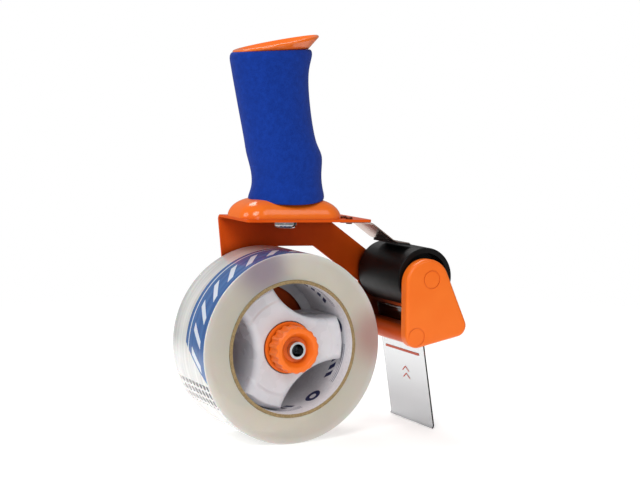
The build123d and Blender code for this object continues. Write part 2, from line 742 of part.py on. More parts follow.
def cutter_blade():
    near, far = carrier_span()
    width = far - near
    tooth = width / BLADE_TEETH
    left = near - WIPER_SHIFT
    root = BLADE_REACH - TOOTH_DEPTH
    points = [(BLADE_REACH - BLADE_LENGTH, left)]
    for i in range(BLADE_TEETH):
        points.append((root, left + i * tooth))
        points.append((BLADE_REACH, left + (i + 0.5) * tooth))
    points.append((root, left + width))
    points.append((BLADE_REACH - BLADE_LENGTH, left + width))
    blade = extrude(Polygon(*points, align=None), BLADE_THICK)
    for x, y in blade_rivet_places():
        blade -= Pos(x, y, 0) * Cylinder(BLADE_RIVET_R + RUN_CLEAR, CUT_LENGTH)
    return blade_plane() * blade


def blade_rivets():
    grip = BLADE_THICK + SHEET
    rivet = headed(RIVET_HEAD_R, RIVET_HEAD, BLADE_RIVET_R, grip)
    tail = SOLE_INSET / 2
    rivet += Pos(0, 0, -grip - tail / 2) * Cylinder(RIVET_HEAD_R, tail)
    return [blade_plane() * Pos(x, y, BLADE_THICK) * rivet for x, y in blade_rivet_places()]


def clamp_screws():
    stack = WIPER_THICK / 2 + SHEET
    length = stack + WIPER_THICK / 2 + CLAMP_SCREW_BITE - FACE_CLEAR
    screw = headed(SCREW_HEAD_R, SCREW_HEAD, CLAMP_SCREW_R, length)
    return [plane * Pos(0, 0, stack) * screw for plane in clamp_screw_planes()]


def tape_core():
    return sleeve(0, 0, CORE_BORE_R, CORE_R, -HALF_TAPE, HALF_TAPE)


def tape():
    roll = sleeve(0, 0, CORE_R, ROLL_R, -HALF_TAPE, HALF_TAPE)
    ends = roll.edges().filter_by(GeomType.CIRCLE).sort_by(SortBy.RADIUS)[-2:]
    return fillet(ends, ROLL_EDGE)


def polar(radius, angle):
    return radius * math.cos(math.radians(angle)), radius * math.sin(math.radians(angle))


def hub_outline():
    """Three arms that spread to arcs at their ends, with hollow sides drawn in to the waist."""
    edges = []
    step = 360 / HUB_ARMS
    for i in range(HUB_ARMS):
        angle = HUB_TURN + i * step
        start = polar(HUB_R, angle - HUB_ARM_HALF)
        end = polar(HUB_R, angle + HUB_ARM_HALF)
        waist = polar(HUB_WAIST_R, angle + step / 2)
        following = polar(HUB_R, angle + step - HUB_ARM_HALF)
        edges.append(ThreePointArc(start, polar(HUB_R, angle), end))
        edges.append(ThreePointArc(end, waist, following))
    return make_face(edges)


def hub():
    outline = hub_outline()
    body = along_y(outline, HUB_NEAR_Y, HUB_FAR_Y)
    # The hollow sides are well rounded in front, and the tips slope in so that a core slides on.
    sides = body.edges().group_by(Axis.Y)[0].sort_by(SortBy.LENGTH)[HUB_ARMS:]
    body = fillet(sides, HUB_SIDE_ROUND)
    lead_y = HUB_NEAR_Y + HUB_LEAD_LENGTH
    lead_plane = Plane(origin=(0, lead_y, 0), z_dir=(0, -1, 0))
    slope = math.degrees(math.atan2(HUB_LEAD, HUB_LEAD_LENGTH))
    lead = extrude(lead_plane * Circle(HUB_R), HUB_LEAD_LENGTH, taper=slope)
    lead = fillet(lead.edges().group_by(Axis.Y)[0], HUB_TIP_ROUND)
    body &= lead + rod(0, 0, HUB_R, lead_y, HUB_FAR_Y)
    body -= along_y(offset(outline, -HUB_WALL), HUB_NEAR_Y + HUB_SKIN, HUB_FAR_Y)
    rim_near = HUB_FAR_Y - RIM_WIDTH
    body += sleeve(0, 0, HUB_R - RIM_IN, HUB_R + RIM_OUT, rim_near, HUB_FAR_Y)
    cup_bore = CUP_R + COUNTERBORE_CLEAR
    cup_floor = HUB_NEAR_Y + COUNTERBORE_DEPTH
    body += rod(0, 0, cup_bore + HUB_WALL, HUB_NEAR_Y + HUB_SKIN, cup_floor + HUB_WALL)
    body += rod(0, 0, SPRING_BORE_R + HUB_WALL, HUB_NEAR_Y + HUB_SKIN, HUB_FAR_Y)
    body -= rod(0, 0, cup_bore, HUB_NEAR_Y, cup_floor)
    body -= rod(0, 0, SPRING_BORE_R, HUB_NEAR_Y, SEAT_Y + FACE_CLEAR)
    body -= rod(0, 0, SPINDLE_R + RUN_CLEAR, HUB_NEAR_Y, HUB_FAR_Y)
    return body


def hub_spindle():
    end = PLATE_OUT + SPINDLE_TAIL
    stud = rod(0, 0, SPINDLE_R, STUD_NEAR_Y, end)
    stud += rod(0, 0, COLLAR_R, COLLAR_Y, PLATE_IN)
    return stud - rod(0, 0, SPINDLE_BORE_R, STUD_NEAR_Y, STUD_NEAR_Y + SPINDLE_BORE_DEPTH)


def spindle_nut():
    return hex_nut(0, 0, SPINDLE_NUT_FLATS, SPINDLE_R, PLATE_OUT, PLATE_OUT + SPINDLE_NUT_WIDTH)


def friction_washer():
    return sleeve(0, 0, COLLAR_R + HOLE_CLEAR, FRICTION_R, COLLAR_Y, PLATE_IN)


def spring_washer():
    return sleeve(0, 0, SPINDLE_R + HOLE_CLEAR, SPRING_BORE_R - HOLE_CLEAR, SPRING_FAR_Y, SEAT_Y)


def tension_spring():
    """One round wire wound round the spindle between the cup and its washer."""
    rise = SPRING_LENGTH - SPRING_WIRE
    path = Helix(rise / SPRING_TURNS, rise, SPRING_R)
    start = Plane(origin=path @ 0, z_dir=path % 0)
    coil = sweep(start * Circle(SPRING_WIRE / 2), path, is_frenet=True)
    return Pos(0, SPRING_FAR_Y - SPRING_WIRE / 2, 0) * Rot(90, 0, 0) * coil


def spring_cup():
    bore = SPINDLE_R + RUN_CLEAR
    ring = sleeve(0, 0, bore, CUP_R, CUP_NEAR_Y, CUP_FAR_Y)
    return ring + sleeve(0, 0, bore, bore + CUP_SPIGOT_WALL, CUP_FAR_Y, CUP_FAR_Y + CUP_SPIGOT)


def tension_knob():
    scallops = PolarLocations(KNOB_R - SCALLOP_DEPTH + SCALLOP_R, KNOB_SCALLOPS) * Circle(SCALLOP_R)
    grip = along_y(Circle(KNOB_R) - scallops, KNOB_NEAR_Y, KNOB_FAR_Y)
    round_off = along_y(Circle(KNOB_R), KNOB_NEAR_Y, KNOB_FAR_Y)
    round_off = chamfer(round_off.edges().group_by(Axis.Y)[0], KNOB_EDGE)
    knob = grip & round_off
    knob -= sleeve(0, 0, KNOB_NECK_R, KNOB_R + KNOB_EDGE, KNOB_FAR_Y - KNOB_NECK, KNOB_FAR_Y)
    dish_plane = Plane(origin=(0, KNOB_NEAR_Y, 0), z_dir=(0, -1, 0))
    knob -= extrude(dish_plane * Circle(KNOB_DISH_R), -KNOB_DISH, taper=KNOB_DISH_TAPER)
    lip = knob.edges().filter_by(GeomType.CIRCLE).group_by(Axis.Y)[0].sort_by(SortBy.RADIUS)[0]
    knob = fillet(lip, KNOB_LIP_ROUND)
    return knob - rod(0, 0, SPINDLE_R + RUN_CLEAR, KNOB_NEAR_Y, KNOB_FAR_Y)


MAKERS = (
    side_frame, handle, foam_grip, handle_bolt, handle_nut,
    leaf_root, tape_leaf, leaf_pad, leaf_rivets,
    outer_guard, roller, roller_bushes, roller_axle, axle_spacers, axle_nut,
    tie_rod, tie_rod_nut, clamp_bar, clamp_screws, wiper_root, wiper,
    blade_carrier, cutter_blade, blade_rivets,
    tape_core, tape, hub, hub_spindle, spindle_nut, friction_washer,
    spring_washer, tension_spring, spring_cup, tension_knob,
)


def solids_of(made):
    pieces = made if isinstance(made, list) else [made]
    return [solid for piece in pieces for solid in piece.solids()]


def stand(nodes):
    """Pitch the gun onto the ground, with the origin under the middle of its box."""
    pitched = {name: [Rot(0, PITCH, 0) * solid for solid in solids] for name, solids in nodes.items()}
    boxes = [solid.bounding_box() for solids in pitched.values() for solid in solids]
    middle_x = (min(box.min.X for box in boxes) + max(box.max.X for box in boxes)) / 2
    middle_y = (min(box.min.Y for box in boxes) + max(box.max.Y for box in boxes)) / 2
    shift = Pos(-middle_x, -middle_y, ROLL_R)
    standing = {name: [shift * solid for solid in solids] for name, solids in pitched.items()}
    return standing, (middle_x, middle_y)


drawn = {maker.__name__: solids_of(maker()) for maker in MAKERS}
placed, middle_xy = stand(drawn)
os.makedirs("parts", exist_ok=True)
for name, solids in placed.items():
    export_step(solids[0] if len(solids) == 1 else Compound(solids), f"parts/{name}.step")
print("origin under", [round(v, 3) for v in middle_xy], "nodes", len(placed))
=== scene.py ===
import json
import math
import random

import bmesh
import bpy
from mathutils import Matrix, Vector, noise


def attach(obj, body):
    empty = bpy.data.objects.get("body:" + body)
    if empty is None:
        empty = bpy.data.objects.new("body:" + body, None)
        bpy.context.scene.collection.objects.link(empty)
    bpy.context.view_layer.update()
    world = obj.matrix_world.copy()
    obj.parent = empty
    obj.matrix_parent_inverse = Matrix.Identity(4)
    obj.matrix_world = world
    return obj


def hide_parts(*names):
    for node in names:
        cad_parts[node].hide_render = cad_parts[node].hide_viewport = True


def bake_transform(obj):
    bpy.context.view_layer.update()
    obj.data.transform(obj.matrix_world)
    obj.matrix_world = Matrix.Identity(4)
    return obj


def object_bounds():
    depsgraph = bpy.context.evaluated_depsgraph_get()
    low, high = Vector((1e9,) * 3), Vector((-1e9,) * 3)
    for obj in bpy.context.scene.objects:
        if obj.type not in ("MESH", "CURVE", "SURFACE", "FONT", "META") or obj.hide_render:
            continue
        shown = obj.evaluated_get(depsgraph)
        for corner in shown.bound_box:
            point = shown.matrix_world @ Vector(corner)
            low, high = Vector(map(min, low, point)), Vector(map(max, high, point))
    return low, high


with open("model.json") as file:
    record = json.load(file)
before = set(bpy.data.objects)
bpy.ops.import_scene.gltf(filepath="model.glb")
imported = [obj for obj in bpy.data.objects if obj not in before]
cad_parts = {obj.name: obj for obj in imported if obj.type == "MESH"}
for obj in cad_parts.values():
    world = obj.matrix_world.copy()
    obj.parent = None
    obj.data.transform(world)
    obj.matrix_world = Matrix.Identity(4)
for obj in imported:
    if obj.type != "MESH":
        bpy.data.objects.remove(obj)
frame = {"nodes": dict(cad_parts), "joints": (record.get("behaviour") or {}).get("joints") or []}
cad_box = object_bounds()

# Where things are. Pieces are drawn in millimetres in the gun's own frame, with the reel axis along Y
# through the origin, X forward to the roller, Z up and the flange level. GUN carries them to the row.
MM = 0.001
joints = {joint["name"]: joint for joint in frame["joints"]}
nodes = frame["nodes"]
REEL = Vector(joints["reel_spin"]["pos_m"])
PITCH = math.radians(2.3)
GUN = Matrix.Translation(REEL) @ Matrix.Rotation(PITCH, 4, "Y") @ Matrix.Scale(MM, 4)

# Sizes in millimetres
FLANGE_TOP = 74.0
HANDLE_Y = 5.2
ROLL_R = 55.7
TAPE_HALF = 24.0
CORE_R = 40.2
CORE_BORE_R = 38.1
CORE_GAP = 0.08
TURN_GAP = 0.05
TURN_PITCH = 0.9
TURN_COUNT = 17
TURN_IN_OUT = (-0.02, 0.10)
ROLL_RIM_ROUND = 0.5
FILM_DEPTH = 0.35
LINER_DEPTH = 0.05
FRAY_SIZE = 1.7
FRAY_DEPTH = 0.16
FRAY_SINK = 0.12
LEAF_THICK = 0.5
LEAF_ROUND = 0.1
LEAF_BEND = 2.4
LEAF_TIP_ROUND = 1.5
LEAF_NEAR_Y = -14.0
LEAF_FAR_Y = 16.0
LEAF_LINE = ((34.2, 72.25), (53.4, 72.25), (70.2, 60.70), (80.6, 59.65))
WIPER_THICK = 1.0
WIPER_ROUND = 0.12
WIPER_CORNER = 0.6
WIPER_NEAR_Y = -26.0
WIPER_FAR_Y = 26.0
WIPER_LINE = ((81.7, 19.9), (95.27, -51.92))
LIP_HEIGHT = 1.8
LIP_SLOPE = 0.6
SPRING_R = 7.4
SPRING_WIRE = 1.4
SPRING_TURNS = 6
SPRING_NEAR_Y = -16.3
SPRING_FAR_Y = 2.7
HUB_STEP_IN = 27.0
HUB_STEP_OUT = 29.2

# Two places this near in millimetres count as one
CLOSE = 0.01

# A wave pattern of scale 1 repeats at this distance, in metres
WAVE_REPEAT = 0.314

# How finely the round pieces are drawn
FOAM_SEGMENTS = 56
ROLL_STEPS = 192
CORE_STEPS = 160
WIPER_CUTS = 40
WIRE_SEGMENTS = 10
STEPS_A_TURN = 24

# Places in the row, in metres, that the worn enamel and the painted shadow in the blade niche go by
CARRIER_TOP_Z = (GUN @ Vector((80.0, 0.0, 19.2))).z
BLADE_NICHE = (GUN @ Vector((73.0, 0.0, 22.0))) * Vector((1.0, 0.0, 1.0))
PLATE_MID_Y = (GUN @ Vector((0.0, 27.75, 0.0))).y

# The wiper's print in millimetres: heights in the gun's frame, and across from the sheet's middle.
# Swing is half the distance from one line of a pattern to the next, here and below.
STRIPE_HEIGHT = -7.4
STRIPE_HALF_HIGH = 0.75
STRIPE_MID = 1.5
STRIPE_HALF_LONG = 20.5
CHEVRON_SLOPE = 0.7
CHEVRON_SWING = 2.2
CHEVRON_LINE = 0.35
CHEVRON_HEIGHT = -20.0
CHEVRON_HALF_HIGH = 5.0
CHEVRON_HALF_WIDE = 4.0
# Heights between which painted shade greys the sheet more towards its foot
SHADE_TOP = -10.0
SHADE_FOOT = -40.0

# The tape's print in millimetres: along from the top of the roll towards the back, and across the tape
BAND_SLANT = 0.8
BAND_MID = -10.0
BAND_HALF_WIDE = 13.4
BAND_MID_ALONG = 17.0
BAND_HALF_LONG = 71.0
SLASH_SWING = 7.0
SLASH_HALF = 2.3
SLASH_MID = -12.0
SLASH_HALF_LONG = 6.0
LINE_ACROSS = -0.8
LINE_HALF = 0.5
DOT_PITCH = 5.2
DOT_SHARE = 0.4
DOTS_MID = -1.0
DOTS_HALF_WIDE = 21.0
DOTS_MID_ALONG = 116.0
DOTS_HALF_LONG = 7.8

# The core liner's print in millimetres, measured as the tape's and repeated round the bore
LINER_SHIFT = 8.0
LINER_REPEATS = 5
BAR_SLANT = 0.6
BAR_SWING = 2.6
BAR_HALF = 1.5
BARS_MID = -5.0
BARS_HALF_WIDE = 2.8
BARS_MID_ALONG = 28.6
BARS_HALF_LONG = 10.4
HOOP_PLACE = (7.0, -8.0, 0.0)
HOOP_SWING = 3.6
HOOP_INNER = 2.2
HOOP_OUTER = 6.0
RULE_SWING = 0.9
RULE_LINE = 0.28
RULES_MID = -13.0
RULES_HALF_WIDE = 2.2
RULES_MID_ALONG = 32.0
RULES_HALF_LONG = 12.0

# Where colour seen through the clear roll from what stands behind it is painted onto the wound tape, in
# millimetres from the reel axis
ROLLER_SEEN_THROUGH = (54.0, 0.0, 4.0)
LEG_SEEN_THROUGH = (-19.0, 0.0, 48.0)

# The studio in metres and watts: each lamp's name, place, width and power, and the photograph's camera
LAMPS = (
    ("key", (-0.72, -0.86, 1.08), 0.7, 9.2),
    ("fill", (0.45, -1.1, 0.90), 0.7, 2.5),
    ("side", (-1.25, 0.20, 0.75), 0.7, 5.0),
    ("back", (0.15, 0.75, 1.25), 0.8, 9.0),
    ("front", (-0.42, -0.86, 0.30), 0.3, 0.45),
)
FLOOR_HALF = 30.0
FLOOR_GLOW = 0.34
FLOOR_FADE = (0.18, 0.62)
ROOM_SEEN = 1.0
ROOM_LIT = 0.28
CAMERA_PLACE = (-0.41999, -0.84575, 0.2146)
CAMERA_AZIMUTH = math.radians(26.5)
CAMERA_DOWN = math.radians(6.0)
CAMERA_LENS = 90.0
CAMERA_SENSOR = 36.0


def paint(code):
    """An sRGB hex colour as linear light, with full alpha."""
    shares = [int(code[i:i + 2], 16) / 255 for i in (1, 3, 5)]
    return [s / 12.92 if s <= 0.04045 else ((s + 0.055) / 1.055) ** 2.4 for s in shares] + [1.0]


def add(tree, kind, inputs=(), stops=(), **settings):
    """Adds a shader node with its settings, its ramp's stops, and its inputs as values or links."""
    made = tree.nodes.new("ShaderNode" + kind)
    for name, value in settings.items():
        setattr(made, name, value)
    for name, value in dict(inputs).items():
        if isinstance(value, bpy.types.NodeSocket):
            tree.links.new(value, made.inputs[name])
        else:
            made.inputs[name].default_value = value
    for i, (place, colour) in enumerate(stops):
        if i == len(made.color_ramp.elements):
            made.color_ramp.elements.new(1.0)
        made.color_ramp.elements[i].position = place
        made.color_ramp.elements[i].color = paint(colour)
    return made


def start(name):
    """A new material with its node tree and the piece's own coordinates, in metres."""
    material = bpy.data.materials.new(name)
    material.use_nodes = True
    tree = material.node_tree
    tree.nodes.clear()
    return material, tree, add(tree, "TexCoord").outputs["Object"]


def surface(tree, **inputs):
    """The material's shader, with its inputs named in lower case, as roughness=0.4."""
    named = {name.replace("_", " ").title().replace("Ior", "IOR"): value for name, value in inputs.items()}
    shader = add(tree, "BsdfPrincipled", named)
    add(tree, "OutputMaterial", {"Surface": shader.outputs[0]})


def calc(tree, operation, *values):
    """The result of one sum on numbers or links."""
    return add(tree, "Math", enumerate(values), operation=operation).outputs[0]


def speckle(tree, place, size, detail, **more):
    """Soft noise from 0 to 1 with grains of a size in millimetres."""
    inputs = {"Vector": place, "Scale": 1 / (size * MM), "Detail": detail, **more}
    return add(tree, "TexNoise", inputs).outputs["Fac"]


def ramp(tree, share, *stops):
    """A colour that runs through stops, each a place from 0 to 1 and a hex code."""
    return add(tree, "ValToRGB", {"Fac": share}, stops=stops).outputs[0]


def between(tree, share, low, high):
    """A number that runs from low to high as the share runs from 0 to 1."""
    return add(tree, "MapRange", {"Value": share, "To Min": low, "To Max": high}).outputs[0]


def fading(tree, away, full, gone, strength):
    """A number that falls softly from strength to nothing between two distances in millimetres."""
    inputs = {"Value": away, "From Min": full * MM, "From Max": gone * MM, "To Min": strength, "To Max": 0.0}
    return add(tree, "MapRange", inputs, interpolation_type="SMOOTHSTEP").outputs[0]


def blended(tree, share, first, second, way="MIX"):
    """Two colours mixed by a share, or multiplied."""
    inputs = {"Fac": share, "Color1": first, "Color2": second}
    return add(tree, "MixRGB", inputs, blend_type=way).outputs[0]


def relief(tree, height, strength, depth):
    """A bumped normal with a depth in millimetres."""
    return add(tree, "Bump", {"Height": height, "Strength": strength, "Distance": depth * MM}).outputs[0]


def without_y(tree, place):
    """The place with its Y left out."""
    return add(tree, "Mapping", {"Vector": place, "Scale": (1.0, 0.0, 1.0)}).outputs[0]


def distance(tree, first, second):
    """How far one place lies from another."""
    return add(tree, "VectorMath", {0: first, 1: second}, operation="DISTANCE").outputs["Value"]


def from_reel(tree, place):
    """The place measured from the reel, the same without its Y, and its distance from the reel axis."""
    centred = add(tree, "Mapping", {"Vector": place, "Location": -REEL}).outputs[0]
    flat = without_y(tree, centred)
    return centred, flat, add(tree, "VectorMath", {0: flat}, operation="LENGTH").outputs["Value"]


def corner_shade(tree, colour, reach, *stops):
    """A colour darkened with painted shade in corners that lie within a reach in millimetres."""
    corner = add(tree, "AmbientOcclusion", {"Distance": reach * MM}, samples=8)
    return blended(tree, 1.0, colour, ramp(tree, corner.outputs["AO"], *stops), "MULTIPLY")


def patch(tree, *limits):
    """1 where each of two values lies within a half size of its middle, and 0 elsewhere."""
    return calc(tree, "MULTIPLY", *[calc(tree, "COMPARE", *limit) for limit in limits])


def lines(tree, value, swing, half):
    """1 on evenly spaced lines of half a width, and 0 between them."""
    return calc(tree, "LESS_THAN", calc(tree, "PINGPONG", value, swing), half)


def printed(tree, name):
    """The piece's own print map in millimetres: the map, its X and its Y."""
    laid = add(tree, "UVMap", uv_map=name).outputs[0]
    parts = add(tree, "SeparateXYZ", {"Vector": laid})
    return laid, parts.outputs["X"], parts.outputs["Y"]


def orange_powder_coat():
    """Baked powder coat on sheet steel: a smooth skin of low gloss with the slight dimpling of orange peel.
    Painted shade darkens its corners, and painted shadow darkens the plate inside the niche between the
    roller and the blade."""
    material, tree, place = start("orange_powder_coat")
    tone = speckle(tree, place, 18, 3.0)
    colour = ramp(tree, tone, (0.3, "#DB5210"), (0.7, "#E35A16"))
    # Painted shadow: the plate's inner face goes dark near the niche between the roller and the blade
    niche = fading(tree, distance(tree, without_y(tree, place), BLADE_NICHE), 7, 19, 0.85)
    depth = add(tree, "SeparateXYZ", {"Vector": place}).outputs["Y"]
    painted_niche_shadow = calc(tree, "MULTIPLY", niche, calc(tree, "LESS_THAN", depth, PLATE_MID_Y))
    niche_shadowed = blended(tree, painted_niche_shadow, colour, paint("#3A0E04"))
    # Painted shade darkens the coat in its corners
    shaded = corner_shade(tree, niche_shadowed, 16, (0.2, "#3C1810"), (0.75, "#FFFFFF"))
    peel = speckle(tree, place, 1.6, 1.0)
    surface(tree, base_color=shaded, roughness=between(tree, tone, 0.24, 0.36),
            normal=relief(tree, peel, 0.06, 0.2), specular_ior_level=0.1)
    return material


def orange_moulding(name, smooth, dull, shine):
    """Moulded ABS: even bright orange with a very fine spark grain, its corners darkened with painted shade.
    The handle's skin is polished, and the small pieces have a satin one."""
    material, tree, place = start(name)
    tone = speckle(tree, place, 22, 2.0)
    colour = ramp(tree, tone, (0.3, "#F87012"), (0.7, "#FB771B"))
    # Painted shade darkens the moulding in its corners
    shaded = corner_shade(tree, colour, 6, (0.1, "#B4683F"), (0.7, "#FFFFFF"))
    grain = speckle(tree, place, 0.7, 2.0)
    surface(tree, base_color=shaded, roughness=between(tree, grain, smooth, dull),
            normal=relief(tree, grain, 0.08, 0.1), specular_ior_level=shine)
    return material


def blue_foam():
    """Closed-cell foam rubber: a dull royal blue skin pricked all over by the open cells at its surface.
    The cells are really a third of a millimetre across and are drawn coarser, so that they show."""
    material, tree, place = start("blue_foam")
    cells = add(tree, "TexVoronoi", {"Vector": place, "Scale": 1 / (0.9 * MM)}).outputs["Distance"]
    colour = ramp(tree, speckle(tree, place, 3, 4.0), (0.3, "#0E3490"), (0.7, "#133CA0"))
    speck = add(tree, "MapRange", {"Value": cells, "From Max": 0.7, "To Min": 0.7}).outputs[0]
    surface(tree, base_color=blended(tree, 0.6, colour, speck, "MULTIPLY"), roughness=0.9,
            normal=relief(tree, cells, 0.35, 0.25), sheen_weight=0.06, sheen_roughness=0.5,
            specular_ior_level=0.12)
    return material


def white_moulding():
    """Moulded polystyrene: cold white and glossy, with faint flow shading and a shallow step round
    the middle."""
    material, tree, place = start("white_moulding")
    radius = from_reel(tree, place)[2]
    limits = {"Value": radius, "From Min": HUB_STEP_IN * MM, "From Max": HUB_STEP_OUT * MM}
    step = add(tree, "MapRange", limits, interpolation_type="SMOOTHSTEP").outputs[0]
    tone = speckle(tree, place, 14, 2.0)
    surface(tree, base_color=ramp(tree, tone, (0.3, "#CDCCD1"), (0.7, "#DAD9DD")),
            roughness=between(tree, tone, 0.22, 0.34), normal=relief(tree, step, 0.8, 0.9),
            subsurface_weight=0.1, subsurface_scale=1.5 * MM)
    return material


def black_roller_skin():
    """Turned black nylon: a satin barrel with fine tool rings round it."""
    material, tree, place = start("black_roller_skin")
    rings = add(tree, "TexWave", {"Vector": place, "Scale": WAVE_REPEAT / (0.8 * MM), "Distortion": 0.4},
                bands_direction="Y").outputs["Fac"]
    tone = speckle(tree, place, 6, 3.0)
    surface(tree, base_color=ramp(tree, tone, (0.3, "#050505"), (0.7, "#0B0B0C")),
            roughness=between(tree, tone, 0.36, 0.50), normal=relief(tree, rings, 0.05, 0.1),
            specular_ior_level=0.2)
    return material


def black_rubber():
    """Cut rubber sheet: nearly black and dull, with a faint grain."""
    material, tree, place = start("black_rubber")
    grain = speckle(tree, place, 0.9, 3.0)
    surface(tree, base_color=ramp(tree, grain, (0.3, "#0A0A0A"), (0.7, "#161616")), roughness=0.7,
            normal=relief(tree, grain, 0.2, 0.1))
    return material


def black_enamel():
    """Black stoving enamel on the steel blade carrier, chipped to bright steel along its top edge."""
    material, tree, place = start("black_enamel")
    ripple = speckle(tree, place, 4, 2.0)
    height = add(tree, "SeparateXYZ", {"Vector": place}).outputs["Z"]
    limits = {"Value": height, "From Min": CARRIER_TOP_Z - 1.6 * MM, "From Max": CARRIER_TOP_Z - 0.2 * MM}
    top = add(tree, "MapRange", limits).outputs[0]
    worn = calc(tree, "MULTIPLY", top, speckle(tree, place, 5, 3.0))
    bare = calc(tree, "GREATER_THAN", worn, 0.42)
    surface(tree, base_color=blended(tree, bare, paint("#040303"), paint("#E6E2E0")), metallic=bare,
            roughness=between(tree, ripple, 0.38, 0.52), normal=relief(tree, ripple, 0.05, 0.2),
            specular_ior_level=0.08)
    return material


def bronzed_rivet():
    """Bronzed steel rivet: a dark red-brown metal, a little worn where the set struck it."""
    material, tree, place = start("bronzed_rivet")
    worn = speckle(tree, place, 0.9, 4.0)
    surface(tree, base_color=ramp(tree, worn, (0.35, "#5A2A1C"), (0.75, "#8C4C36")), metallic=0.85,
            roughness=between(tree, worn, 0.28, 0.5))
    return material


def spring_steel():
    """Rolled spring steel: bright, tempered to a straw brown, with fine rolling lines along the strip."""
    material, tree, place = start("spring_steel")
    along = add(tree, "Mapping", {"Vector": place, "Scale": (0.05, 1.0, 0.05)}).outputs[0]
    rolled = speckle(tree, along, 0.5, 3.0)
    surface(tree, base_color=ramp(tree, rolled, (0.3, "#A88B7E"), (0.7, "#D2B4A6")), metallic=1.0,
            roughness=between(tree, rolled, 0.10, 0.24), normal=relief(tree, rolled, 0.04, 0.05))
    return material


def zinc_plate():
    """Bright zinc on turned steel: silvery with a faint mottle."""
    material, tree, place = start("zinc_plate")
    mottle = speckle(tree, place, 2.2, 4.0)
    surface(tree, base_color=ramp(tree, mottle, (0.3, "#B4B6B9"), (0.7, "#DADBDD")), metallic=1.0,
            roughness=between(tree, mottle, 0.10, 0.26))
    return material


def washer_felt():
    """Pressed wool felt: dull grey-brown with loose fibres."""
    material, tree, place = start("washer_felt")
    fibre = speckle(tree, place, 1.2, 6.0, Distortion=1.5)
    surface(tree, base_color=ramp(tree, fibre, (0.3, "#3B342B"), (0.7, "#5E564A")), roughness=0.95,
            normal=relief(tree, fibre, 0.5, 0.2))
    return material


def clear_sheet():
    """Clear rigid PVC sheet: it lets the room through and greys it a little, more towards its foot where
    shade is painted in, and its cut edges go dark.
    It is printed in red with one stripe and a few fine chevrons."""
    material, tree, place = start("clear_sheet")
    sideways, height = printed(tree, "face_mm")[1:]
    across = calc(tree, "ABSOLUTE", sideways)
    stripe = patch(tree, (height, STRIPE_HEIGHT, STRIPE_HALF_HIGH), (sideways, STRIPE_MID, STRIPE_HALF_LONG))
    slant = calc(tree, "MULTIPLY_ADD", across, CHEVRON_SLOPE, height)
    chevron_high = calc(tree, "COMPARE", slant, CHEVRON_HEIGHT, CHEVRON_HALF_HIGH)
    chevron_wide = calc(tree, "LESS_THAN", across, CHEVRON_HALF_WIDE)
    chevron_in = calc(tree, "MULTIPLY", chevron_high, chevron_wide)
    chevrons = calc(tree, "MULTIPLY", chevron_in, lines(tree, slant, CHEVRON_SWING, CHEVRON_LINE))
    ink = calc(tree, "MAXIMUM", stripe, chevrons)
    # Painted shade: the sheet greys more from the top height down to the foot
    low = add(tree, "MapRange", {"Value": height, "From Min": SHADE_TOP, "From Max": SHADE_FOOT}).outputs[0]
    tint = ramp(tree, low, (0.0, "#DADBDC"), (1.0, "#BCBCBE"))
    surface(tree, base_color=blended(tree, ink, tint, paint("#D4522A")), ior=1.33,
            roughness=between(tree, speckle(tree, place, 11, 3.0), 0.02, 0.10),
            transmission_weight=between(tree, ink, 1.0, 0.0))
    return material


def wound_tape_edge():
    """The cut edges of hundreds of turns of clear film: milky warm grey, with fine rings and clearer outside.
    Colour that shows through the clear roll from the painted frame close behind it and from the print is
    painted onto it."""
    material, tree, place = start("wound_tape_edge")
    centred, flat, radius = from_reel(tree, place)
    rings = add(tree, "TexWave", {"Vector": centred, "Scale": WAVE_REPEAT / (0.9 * MM), "Distortion": 1.2,
                                  "Detail": 3.0}, wave_type="RINGS", rings_direction="Y").outputs["Fac"]
    cloud = speckle(tree, place, 24, 4.0)
    limits = {"Value": radius, "From Min": CORE_R * MM, "From Max": ROLL_R * MM}
    deep = add(tree, "MapRange", limits).outputs[0]
    tint = ramp(tree, deep, (0.0, "#DCD3C3"), (0.75, "#E1DACD"), (1.0, "#ECEAE4"))
    colour = blended(tree, 1.0, tint, between(tree, cloud, 0.9, 1.08), "MULTIPLY")
    # Painted see-through colour: soft patches of the frame's and the print's colour, fixed on the roll
    for seen_from, seen_colour in ((ROLLER_SEEN_THROUGH, "#BA8078"), (LEG_SEEN_THROUGH, "#9C86A0")):
        away = distance(tree, flat, Vector(seen_from) * MM)
        colour = blended(tree, fading(tree, away, 4, 25, 0.72), colour, paint(seen_colour))
    surface(tree, base_color=colour, roughness=0.3, normal=relief(tree, rings, 0.08, 0.08),
            subsurface_weight=0.4, subsurface_scale=5 * MM, ior=1.4, transmission_weight=0.35)
    return material


